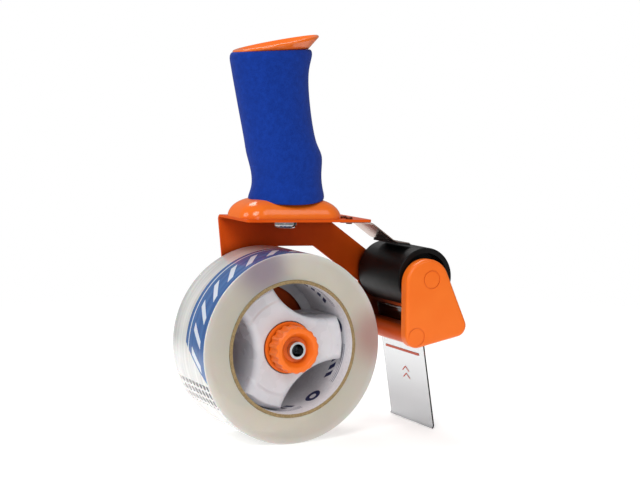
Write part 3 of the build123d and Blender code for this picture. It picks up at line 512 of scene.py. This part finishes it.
def clear_tape_film():
    """Clear polypropylene film over a printed leader: wet gloss with streaks round the roll, and a blue band
    with pale slashes and a line on its near half, followed by a run of small dots."""
    material, tree = start("clear_tape_film")[:2]
    wrap, along, across = printed(tree, "wrap_mm")
    slant = calc(tree, "MULTIPLY_ADD", across, BAND_SLANT, along)
    band = patch(tree, (across, BAND_MID, BAND_HALF_WIDE), (slant, BAND_MID_ALONG, BAND_HALF_LONG))
    slash_wide = calc(tree, "COMPARE", across, SLASH_MID, SLASH_HALF_LONG)
    slashes = calc(tree, "MULTIPLY", lines(tree, slant, SLASH_SWING, SLASH_HALF), slash_wide)
    marks = calc(tree, "MAXIMUM", slashes, calc(tree, "COMPARE", across, LINE_ACROSS, LINE_HALF))
    cells = add(tree, "TexVoronoi", {"Vector": wrap, "Scale": 1 / DOT_PITCH, "Randomness": 0.0},
                voronoi_dimensions="2D").outputs["Distance"]
    dots_in = patch(tree, (across, DOTS_MID, DOTS_HALF_WIDE), (along, DOTS_MID_ALONG, DOTS_HALF_LONG))
    dots = calc(tree, "MULTIPLY", calc(tree, "LESS_THAN", cells, DOT_SHARE), dots_in)
    drawn_out = add(tree, "Mapping", {"Vector": wrap, "Scale": (0.02, 0.30, 1.0)}).outputs[0]
    streak = add(tree, "TexNoise", {"Vector": drawn_out, "Scale": 1.0, "Detail": 4.0}).outputs["Fac"]
    film = ramp(tree, streak, (0.35, "#D6D6D4"), (0.65, "#F6F5F2"))
    blue = ramp(tree, streak, (0.35, "#325892"), (0.65, "#456FA8"))
    marked = blended(tree, marks, blue, paint("#D5DCE8"))
    dotted = blended(tree, dots, film, paint("#20222A"))
    ink = calc(tree, "MAXIMUM", band, dots)
    surface(tree, base_color=blended(tree, band, dotted, marked), roughness=0.26,
            normal=relief(tree, streak, 0.06, 0.2), coat_weight=0.6, coat_roughness=0.05,
            subsurface_weight=0.2, subsurface_scale=3 * MM, ior=1.4,
            transmission_weight=between(tree, ink, 0.15, 0.0))
    return material


def core_board():
    """Spiral-wound paper board seen at its cut edge: tan, fibrous and dull."""
    material, tree, place = start("core_board")
    fibre = speckle(tree, place, 0.8, 6.0)
    surface(tree, base_color=ramp(tree, fibre, (0.3, "#806A46"), (0.7, "#A68F67")), roughness=0.9,
            normal=relief(tree, fibre, 0.6, 0.3))
    return material


def core_liner():
    """Bleached paper inside the core, printed in navy with slanted bars, hoops and fine rules."""
    material, tree, place = start("core_liner")
    round_bore, across = printed(tree, "wrap_mm")[1:]
    shifted = calc(tree, "ADD", round_bore, LINER_SHIFT)
    along = calc(tree, "FLOORED_MODULO", shifted, math.tau * CORE_BORE_R / LINER_REPEATS)
    slant = calc(tree, "MULTIPLY_ADD", across, BAR_SLANT, along)
    bars_in = patch(tree, (across, BARS_MID, BARS_HALF_WIDE), (slant, BARS_MID_ALONG, BARS_HALF_LONG))
    bars = calc(tree, "MULTIPLY", lines(tree, slant, BAR_SWING, BAR_HALF), bars_in)
    spot = add(tree, "CombineXYZ", {"X": along, "Y": across}).outputs[0]
    away = distance(tree, spot, HOOP_PLACE)
    hoop = calc(tree, "GREATER_THAN", calc(tree, "PINGPONG", away, HOOP_SWING), HOOP_INNER)
    hoops = calc(tree, "MULTIPLY", hoop, calc(tree, "LESS_THAN", away, HOOP_OUTER))
    rules_in = patch(tree, (across, RULES_MID, RULES_HALF_WIDE), (along, RULES_MID_ALONG, RULES_HALF_LONG))
    rules = calc(tree, "MULTIPLY", lines(tree, across, RULE_SWING, RULE_LINE), rules_in)
    ink = calc(tree, "MAXIMUM", calc(tree, "MAXIMUM", bars, hoops), rules)
    white = ramp(tree, speckle(tree, place, 1.5, 4.0), (0.3, "#E2E2E6"), (0.7, "#F0F0F3"))
    surface(tree, base_color=blended(tree, ink, white, paint("#1A2458")), roughness=0.5)
    return material


def studio_floor():
    """Matt white paper that fades into the white room away from the object."""
    material, tree, place = start("studio_paper")
    tone = add(tree, "TexNoise", {"Vector": place, "Scale": 1.0, "Detail": 1.0}).outputs["Fac"]
    away = add(tree, "VectorMath", {0: place}, operation="LENGTH").outputs["Value"]
    near, far = FLOOR_FADE
    fade = add(tree, "MapRange", {"Value": away, "From Min": near, "From Max": far},
               interpolation_type="SMOOTHSTEP")
    paper = add(tree, "BsdfDiffuse", {"Color": ramp(tree, tone, (0.3, "#F6F6F5"), (0.7, "#F8F8F7"))})
    glow = add(tree, "Emission", {"Color": paint("#FFFFFF"), "Strength": FLOOR_GLOW})
    lit = add(tree, "AddShader", {0: paper.outputs[0], 1: glow.outputs[0]})
    nothing = add(tree, "BsdfTransparent")
    mixed = add(tree, "MixShader", {0: fade.outputs[0], 1: lit.outputs[0], 2: nothing.outputs[0]})
    add(tree, "OutputMaterial", {"Surface": mixed.outputs[0]})
    return material


POWDER = orange_powder_coat()
MOULDED = orange_moulding("orange_moulding", 0.30, 0.42, 0.38)
POLISHED = orange_moulding("orange_polished_moulding", 0.12, 0.2, 0.5)
FOAM = blue_foam()
WHITE = white_moulding()
BLACK = black_roller_skin()
RUBBER = black_rubber()
ENAMEL = black_enamel()
BRONZED = bronzed_rivet()
STEEL = spring_steel()
ZINC = zinc_plate()
FELT = washer_felt()
SHEETING = clear_sheet()
TAPE_EDGE = wound_tape_edge()
TAPE_FILM = clear_tape_film()
BOARD = core_board()
LINER = core_liner()

CAD_FINISH = {
    POWDER: ("side_frame", "clamp_bar"),
    ENAMEL: ("blade_carrier",),
    BRONZED: ("leaf_rivets",),
    MOULDED: ("outer_guard", "spring_cup", "tension_knob"),
    POLISHED: ("handle",),
    WHITE: ("hub",),
    BLACK: ("roller", "roller_bushes"),
    RUBBER: ("leaf_pad",),
    STEEL: ("cutter_blade",),
    ZINC: ("handle_bolt", "handle_nut", "blade_rivets", "clamp_screws", "tie_rod", "tie_rod_nut",
           "roller_axle", "axle_nut", "axle_spacers", "hub_spindle", "spindle_nut", "spring_washer"),
    FELT: ("friction_washer",),
}
for material, names in CAD_FINISH.items():
    for name in names:
        nodes[name].data.materials.clear()
        nodes[name].data.materials.append(material)


def finished(bm, name, materials, replaced, crease=35):
    """A drawn piece as an object in the row's frame that stands for the CAD nodes named."""
    bmesh.ops.recalc_face_normals(bm, faces=bm.faces)
    bmesh.ops.transform(bm, matrix=GUN, verts=bm.verts)
    mesh = bpy.data.meshes.new(name)
    bm.to_mesh(mesh)
    bm.free()
    mesh.shade_smooth()
    mesh.set_sharp_from_angle(angle=math.radians(crease))
    for material in materials:
        mesh.materials.append(material)
    piece = bpy.data.objects.new(name, mesh)
    bpy.context.scene.collection.objects.link(piece)
    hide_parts(*replaced)
    return piece


def edges_of(verts):
    """The edges that run between vertices of one set."""
    chosen = set(verts)
    return [edge for edge in {e for v in chosen for e in v.link_edges} if chosen.issuperset(edge.verts)]


def drawn_out_verts(bm, edges):
    """Doubles edges into faces that have no depth yet, and gives the new vertices."""
    made = bmesh.ops.extrude_edge_only(bm, edges=edges)["geom"]
    return [item for item in made if isinstance(item, bmesh.types.BMVert)]


def oval(middle_x, half_x, half_y, height, rise):
    """Carries a unit circle to an oval round the handle, tilted up towards the front by rise degrees."""
    place = Matrix.Translation((middle_x, HANDLE_Y, height))
    tilt = Matrix.Rotation(-math.radians(rise), 4, "Y")
    return place @ tilt @ Matrix.Diagonal((half_x, half_y, 1.0, 1.0))


# Foam sleeve stations from the inner lip of the hem, up the outside and over the rolled top:
# height above the flange, middle in X, half length in X, half width in Y, tilt to the front.
FOAM_STATIONS = (
    (12.1, 6.0, 19.5, 17.4, 2.5),
    (10.5, 6.0, 21.1, 18.4, 2.5),
    (10.0, 5.9, 22.5, 19.6, 2.5),
    (11.3, 5.8, 23.2, 20.2, 2.5),
    (14.0, 6.1, 22.7, 19.6, 1.5),
    (18.4, 6.4, 21.3, 18.3, 0.5),
    (25.0, 5.6, 21.2, 18.0, 0.0),
    (31.0, 4.8, 22.2, 18.6, 0.0),
    (36.0, 4.0, 22.9, 19.2, 0.0),
    (39.5, 2.9, 22.6, 19.1, 0.0),
    (44.0, 1.0, 21.6, 18.6, 0.0),
    (52.0, -1.2, 21.5, 18.4, 0.0),
    (62.0, -3.4, 21.6, 18.4, 1.0),
    (74.0, -5.6, 22.0, 18.8, 2.5),
    (84.0, -7.0, 22.7, 19.4, 4.0),
    (90.0, -7.0, 24.0, 20.4, 4.6),
    (93.6, -7.0, 24.9, 21.0, 4.6),
    (96.2, -7.0, 24.5, 20.7, 4.6),
    (97.3, -7.0, 23.0, 19.6, 4.6),
    (96.4, -7.0, 21.3, 17.9, 4.6),
    (93.5, -6.9, 20.6, 17.2, 4.6),
)
# The hem droops at both sides, fully in its lowest loops and less above them. Low lumps cover the foam.
HEM_LOOPS = 6
HEM_DIP = 2.0
HEM_HALF_Y = 20.6
HEM_FULL = 1.5
LUMP_SIZE = 16.0
LUMP_HEIGHT = 0.35


def foam_sleeve():
    """A sleeve of foam pulled over the handle, with a rolled top and a hem that droops at both sides."""
    bm = bmesh.new()
    loop = bmesh.ops.create_circle(bm, segments=FOAM_SEGMENTS, radius=1.0)["verts"]
    carried = Matrix.Identity(4)
    loops = []
    for height, middle, half_x, half_y, rise in FOAM_STATIONS:
        if loops:
            loop = drawn_out_verts(bm, edges_of(loop))
        station = oval(middle, half_x, half_y, FLANGE_TOP + height, rise)
        bmesh.ops.transform(bm, matrix=station @ carried.inverted(), verts=loop)
        carried = station
        loops.append(loop)
    for i, loop in enumerate(loops[:HEM_LOOPS]):
        share = 1 - i / HEM_LOOPS
        for vert in loop:
            side = abs(vert.co.y - HANDLE_Y) / HEM_HALF_Y
            vert.co.z -= HEM_DIP * min(share * HEM_FULL, 1.0) * min(side, 1.0) ** 2
    for vert in bm.verts:
        lump = noise.noise(vert.co / LUMP_SIZE) * LUMP_HEIGHT
        out = Vector((vert.co.x, vert.co.y - HANDLE_Y, 0.0)).normalized()
        vert.co += out * lump
    piece = finished(bm, "foam_sleeve", [FOAM], ["foam_grip"], crease=180)
    smooth = piece.modifiers.new("soft_skin", "SUBSURF")
    smooth.levels = smooth.render_levels = 2
    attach(piece, "frame")


def grown(bm, edges, step):
    """Draws edges out by a step into faces."""
    bmesh.ops.translate(bm, vec=step, verts=drawn_out_verts(bm, edges))


def polyline(bm, points):
    """Edges through points given in X, Y and Z."""
    verts = [bm.verts.new(point) for point in points]
    return [bm.edges.new(pair) for pair in zip(verts, verts[1:])]


def thickened(piece, thickness, rounding):
    """Gives a sheet its thickness, half to each side, and takes the sharpness off its edges."""
    wall = piece.modifiers.new("thickness", "SOLIDIFY")
    wall.thickness = thickness * MM
    wall.offset = 0.0
    edge = piece.modifiers.new("soft_edge", "BEVEL")
    edge.width = rounding * MM
    edge.segments = 2
    edge.limit_method = "ANGLE"
    edge.angle_limit = math.radians(50)
    edge.harden_normals = True


def sprung_leaf():
    """One strip of spring steel: flat under the flange, down the slope, then nearly flat over the roller."""
    bm = bmesh.new()
    line = polyline(bm, [(x, LEAF_NEAR_Y, z) for x, z in LEAF_LINE])
    grown(bm, line, (0, LEAF_FAR_Y - LEAF_NEAR_Y, 0))
    bends = [edge for edge in bm.edges if len(edge.link_faces) == 2]
    bmesh.ops.bevel(bm, geom=bends, offset=LEAF_BEND, offset_type="OFFSET", segments=6, profile=0.5,
                    affect="EDGES", material=-1)
    tip = [vert for vert in bm.verts if vert.co.x > LEAF_LINE[-1][0] - CLOSE]
    bmesh.ops.bevel(bm, geom=tip, offset=LEAF_TIP_ROUND, segments=4, profile=0.5, affect="VERTICES",
                    material=-1)
    piece = finished(bm, "sprung_leaf", [STEEL], ["leaf_root", "tape_leaf"])
    thickened(piece, LEAF_THICK, LEAF_ROUND)
    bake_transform(piece)


def clear_wiper():
    """One clear sheet from above the clamp bar down to the carton, with a narrow lip folded at its foot."""
    bm = bmesh.new()
    (top_x, top_z), (foot_x, foot_z) = WIPER_LINE
    edge = polyline(bm, [(top_x, WIPER_NEAR_Y, top_z), (foot_x, WIPER_NEAR_Y, foot_z)])
    bmesh.ops.subdivide_edges(bm, edges=edge, cuts=WIPER_CUTS)
    grown(bm, bm.edges[:], (0, WIPER_FAR_Y - WIPER_NEAR_Y, 0))
    corners = [vert for vert in bm.verts if len(vert.link_edges) == 2]
    bmesh.ops.bevel(bm, geom=corners, offset=WIPER_CORNER, segments=3, profile=0.5, affect="VERTICES",
                    material=-1)
    face = bm.loops.layers.uv.new("face_mm")
    for loop in (loop for part in bm.faces for loop in part.loops):
        loop[face].uv = (loop.vert.co.y - (WIPER_NEAR_Y + WIPER_FAR_Y) / 2, loop.vert.co.z)
    for vert in bm.verts:
        fold = max(0.0, foot_z + LIP_HEIGHT - vert.co.z)
        vert.co.x -= LIP_SLOPE * fold
    piece = finished(bm, "clear_wiper", [SHEETING], ["wiper_root", "wiper"])
    thickened(piece, WIPER_THICK, WIPER_ROUND)
    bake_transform(piece)


def turned(bm, profile, steps):
    """Spins a closed profile, given as radius and Y, once round the reel axis."""
    polyline(bm, [(radius, y, 0.0) for radius, y in profile + profile[:1]])
    bmesh.ops.remove_doubles(bm, verts=bm.verts, dist=0.001)
    bmesh.ops.spin(bm, geom=bm.verts[:] + bm.edges[:], axis=(0, 1, 0), cent=(0, 0, 0), dvec=(0, 0, 0),
                   angle=math.tau, steps=steps, use_merge=True)
    bmesh.ops.recalc_face_normals(bm, faces=bm.faces)


def wrapped(bm, radius):
    """Lays a print map round the reel axis: millimetres from the top towards the back, and across."""
    wrap = bm.loops.layers.uv.new("wrap_mm")
    for part in bm.faces:
        middle = part.calc_center_median()
        turn = math.atan2(-middle.x, middle.z)
        for loop in part.loops:
            here = math.atan2(-loop.vert.co.x, loop.vert.co.z)
            here += math.tau * round((turn - here) / math.tau)
            loop[wrap].uv = (here * radius, loop.vert.co.y)


def tape_roll():
    """The wound tape: a glossy printed tread, and end faces where the turns stand a little in and out."""
    random.seed(7)
    bm = bmesh.new()
    turns = [CORE_R + TURN_GAP + TURN_PITCH * i for i in range(TURN_COUNT)]
    near = [(radius, -TAPE_HALF + random.uniform(*TURN_IN_OUT)) for radius in turns]
    far = [(radius, TAPE_HALF - random.uniform(*TURN_IN_OUT)) for radius in turns]
    turned(bm, near[:-1] + [(ROLL_R, -TAPE_HALF), (ROLL_R, TAPE_HALF)] + far[-2::-1], ROLL_STEPS)
    rims = [edge for edge in bm.edges if all(v.co.xz.length > ROLL_R - CLOSE for v in edge.verts)
            and abs(edge.verts[0].co.y - edge.verts[1].co.y) < CLOSE]
    bmesh.ops.bevel(bm, geom=rims, offset=ROLL_RIM_ROUND, offset_type="OFFSET", segments=3, profile=0.5,
                    affect="EDGES", material=-1)
    wrapped(bm, ROLL_R)
    for part in bm.faces:
        part.material_index = 1 if part.calc_center_median().xz.length > ROLL_R - FILM_DEPTH else 0
    piece = finished(bm, "tape_roll", [TAPE_EDGE, TAPE_FILM], ["tape"], crease=60)
    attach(piece, "tape_roll")


def paper_core():
    """The board tube inside the tape: a printed liner and slightly frayed cut edges."""
    bm = bmesh.new()
    outer = CORE_R - CORE_GAP
    profile = [(CORE_BORE_R, -TAPE_HALF), (outer, -TAPE_HALF), (outer, TAPE_HALF), (CORE_BORE_R, TAPE_HALF)]
    turned(bm, profile, CORE_STEPS)
    ends = [edge for edge in bm.edges if abs(edge.verts[0].co.y) > TAPE_HALF - CLOSE
            and abs(edge.verts[0].co.xz.length - edge.verts[1].co.xz.length) > 1.0]
    bmesh.ops.subdivide_edges(bm, edges=ends, cuts=3)
    wrapped(bm, CORE_BORE_R)
    for part in bm.faces:
        part.material_index = 1 if part.calc_center_median().xz.length < CORE_BORE_R + LINER_DEPTH else 0
    for vert in bm.verts:
        fray = noise.noise(vert.co / FRAY_SIZE) * FRAY_DEPTH
        vert.co.y += math.copysign(fray - FRAY_SINK, vert.co.y)
    piece = finished(bm, "paper_core", [BOARD, LINER], ["tape_core"])
    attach(piece, "tape_roll")


def wound_spring():
    """The wire wound round the spindle under the knob."""
    bm = bmesh.new()
    steps = SPRING_TURNS * STEPS_A_TURN
    rise = (SPRING_FAR_Y - SPRING_NEAR_Y - SPRING_WIRE) / steps
    first = Matrix.Translation((SPRING_R, SPRING_NEAR_Y + SPRING_WIRE / 2, 0.0))
    bmesh.ops.create_circle(bm, segments=WIRE_SEGMENTS, radius=SPRING_WIRE / 2, matrix=first)
    bmesh.ops.spin(bm, geom=bm.verts[:] + bm.edges[:], axis=(0, 1, 0), cent=(0, 0, 0), dvec=(0, rise, 0),
                   angle=SPRING_TURNS * math.tau, steps=steps)
    bmesh.ops.holes_fill(bm, edges=[edge for edge in bm.edges if edge.is_boundary], sides=0)
    piece = finished(bm, "wound_spring", [STEEL], ["tension_spring"], crease=60)
    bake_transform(piece)


foam_sleeve()
sprung_leaf()
clear_wiper()
tape_roll()
paper_core()
wound_spring()


def area_light(name, place, size, watts, aim):
    """A round white lamp turned to what it lights."""
    data = bpy.data.lights.new(name, "AREA")
    data.shape = "DISK"
    data.size = size
    data.energy = watts
    lamp = bpy.data.objects.new(name, data)
    lamp.location = place
    lamp.rotation_euler = (aim - Vector(place)).to_track_quat("-Z", "Y").to_euler()
    bpy.context.scene.collection.objects.link(lamp)


def studio():
    """A white paper floor, lamps on all sides with the key at the upper left, and a white room that lights
    the object less than it shows."""
    bm = bmesh.new()
    bmesh.ops.create_grid(bm, x_segments=4, y_segments=4, size=FLOOR_HALF)
    mesh = bpy.data.meshes.new("studio_floor")
    bm.to_mesh(mesh)
    bm.free()
    mesh.materials.append(studio_floor())
    floor = bpy.data.objects.new("studio_floor", mesh)
    bpy.context.scene.collection.objects.link(floor)
    for lamp in LAMPS:
        area_light(*lamp, (cad_box[0] + cad_box[1]) / 2)
    world = bpy.data.worlds.new("studio_room")
    world.use_nodes = True
    tree = world.node_tree
    tree.nodes.clear()
    path = add(tree, "LightPath").outputs
    turns = calc(tree, "ADD", path["Diffuse Depth"], path["Glossy Depth"])
    level = between(tree, turns, ROOM_SEEN, ROOM_LIT)
    room = add(tree, "Background", {"Color": paint("#FFFFFF"), "Strength": level})
    add(tree, "OutputWorld", {"Surface": room.outputs[0]})
    bpy.context.scene.world = world
    bpy.context.scene.view_settings.view_transform = "Standard"


def camera():
    """A long lens at the photograph's place, level and a little above the roll."""
    level = math.cos(CAMERA_DOWN)
    look = Vector((math.sin(CAMERA_AZIMUTH) * level, math.cos(CAMERA_AZIMUTH) * level,
                   -math.sin(CAMERA_DOWN)))
    data = bpy.data.cameras.new("camera")
    data.lens = CAMERA_LENS
    data.sensor_width = CAMERA_SENSOR
    view = bpy.data.objects.new("camera", data)
    view.location = CAMERA_PLACE
    view.rotation_euler = look.to_track_quat("-Z", "Y").to_euler()
    bpy.context.scene.collection.objects.link(view)
    bpy.context.scene.camera = view


studio()
camera()
bpy.context.view_layer.update()
